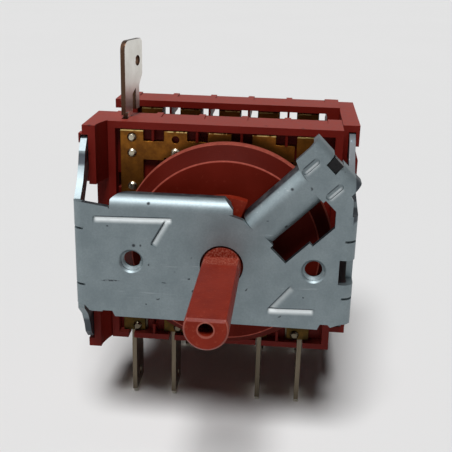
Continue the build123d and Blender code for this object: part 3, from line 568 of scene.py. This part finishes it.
# The lower blades' finish: the same tin painted darker, a painted shade.
shaded_tin = tab_finish("painted_shade_tab", (0.20, 0.165, 0.13), (0.12, 0.095, 0.07), (0.17, 0.14, 0.10))
dress("top_tab", tin, edge=0.10)
for name in sorted(nodes):
    if "lower_tab" in name:
        dress(name, shaded_tin, edge=0.10)


# Rivets: plated steel heads that clinch each leaf to its plate.
# Those in the upper bays are bright, and those in the lower bays are painted dark, a painted shade.
low_bays_top = -8.0
bright = Finish("bright_rivet", {"Metallic": 1.0})
cloud = bright.noise(0.8, 3.0)
# Painted shade on the rivets in the lower bays.
low_bay_shade = 1 - bright.axis(2).above(low_bays_top, 2.0)
tone = bright.mix(cloud, (0.62, 0.56, 0.44), (0.34, 0.30, 0.22))
bright.feed("Base Color", bright.mix(low_bay_shade, tone, (0.12, 0.10, 0.07)))
bright.feed("Roughness", cloud * 0.3 + 0.12)
for name in ("front_rivets", "rear_rivets"):
    dress(name, bright, edge=0.2, sharp=30.0, segments=3)


# Detent plunger: a black moulded slider in the arm's channel, with a guide pin through its spring.
# Its nose rides on the star wheel behind the bracket.
black = Finish("black_moulding", {"Specular IOR Level": 0.2})
grey = black.noise(1.5, 3.0)
black.feed("Base Color", black.mix(grey, (0.004, 0.004, 0.0045), (0.010, 0.010, 0.011)))
black.feed("Roughness", grey * 0.3 + 0.15)
dress("detent_plunger", black, edge=0.12)


# Spring seat: a black moulded block in the notch of the arm's head, in front of the guide pin.
# The coil spring presses on its inner end, and its lip covers the spring's last turn in front.
seat_left = 0.25
seat_width = 1.85
seat_front = 0.5
seat_back = 2.3
lip_back = 1.6
lip_start = 22.38
seat_start = 23.0
seat_end = 23.95
seat_rounding = 0.14


def seat_block(start, back):
    x, z = on_arm((start + seat_end) / 2, seat_left)
    bpy.ops.object.select_all(action="DESELECT")
    bpy.ops.mesh.primitive_cube_add(
        size=MM,
        location=(x * MM, (seat_front + back) / 2 * MM, z * MM),
        rotation=(0, -arm_slope, 0),
        scale=(seat_end - start, back - seat_front, seat_width),
    )
    bpy.ops.object.transform_apply(location=True, rotation=True, scale=True)
    return bpy.context.active_object


seat = seat_block(lip_start, lip_back)
block = seat_block(seat_start, seat_back)
joining = seat.modifiers.new("joining", "BOOLEAN")
joining.operation = "UNION"
joining.object = block
bpy.context.view_layer.objects.active = seat
bpy.ops.object.modifier_apply(modifier=joining.name)
bpy.data.objects.remove(block)
rounding = seat.modifiers.new("rounding", "BEVEL")
rounding.width = seat_rounding * MM
rounding.segments = 3
rounding.limit_method = "ANGLE"
bpy.ops.object.modifier_apply(modifier=rounding.name)
seat.select_set(True)
bpy.ops.object.shade_smooth_by_angle(angle=math.radians(40))
seat.name = "spring_seat"
seat.data.materials.clear()
seat.data.materials.append(black.material)
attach(seat, nodes["front_bracket"]["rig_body"])


# Detent spring: a coil of bright drawn steel wire on the guide pin, between the plunger and the seat.
# Its wire is round already, so no edge is broken.
steel = Finish("spring_wire", {"Metallic": 1.0, "Roughness": 0.25})
grey = steel.noise(1.5, 3.0)
steel.feed("Base Color", steel.mix(grey, (0.50, 0.50, 0.50), (0.34, 0.34, 0.35)))
dress("detent_spring", steel, edge=0.0, sharp=60.0)


# Floor: a pale seamless surface under the tabs' ends, which the camera sees a little darker than white.
# Behind it the world carries the same tone, so no horizon shows, and metal mirrors a brighter left.
floor_level = cad_box[0][2]
floor_side = 6.0
bpy.ops.object.select_all(action="DESELECT")
bpy.ops.mesh.primitive_plane_add(size=floor_side, location=(0, 0, floor_level))
floor = bpy.context.active_object
floor.name = "table"
paper = Finish("pale_table", {"Roughness": 0.9, "Specular IOR Level": 0.0})
paper.feed("Base Color", paper.mix(paper.noise(0.01, 2.0), (0.80, 0.80, 0.80), (0.82, 0.82, 0.82)))
floor.data.materials.append(paper.material)

world = bpy.data.worlds.new("studio")
bpy.context.scene.world = world
world.use_nodes = True
tree = world.node_tree
sky = tree.nodes["Background"]
seen = 0.77
mirrored = 0.46
mirrored_left = 1.1
fill = 0.02
camera_ray = node_in(tree, "ShaderNodeLightPath", output="Is Camera Ray")
glossy_ray = node_in(tree, "ShaderNodeLightPath", output="Is Glossy Ray")
direction = node_in(tree, "ShaderNodeTexCoord", output="Generated")
sideways = node_in(tree, "ShaderNodeSeparateXYZ", {}, {"Vector": direction})
on_left = 1 - sideways.above(-0.5, 0.25)
strength = camera_ray * seen + glossy_ray * (on_left * mirrored_left + mirrored) + fill
sky.inputs["Color"].default_value = (0.99, 1.0, 1.0, 1.0)
tree.links.new(strength.socket, sky.inputs["Strength"])


# Light: one panel overhead, a little in front and to the left, as in a shop's photo tent.
# Its width softens the shadow, and the floor's own glow lights the faces that look forward.
panel = bpy.data.lights.new("overhead_panel", "SUN")
panel.energy = 3.25
panel.angle = math.radians(24)
panel_holder = bpy.data.objects.new("overhead_panel", panel)
panel_holder.rotation_euler = Vector((-0.05, -0.5, 1.0)).to_track_quat("Z", "Y").to_euler()
bpy.context.scene.collection.objects.link(panel_holder)
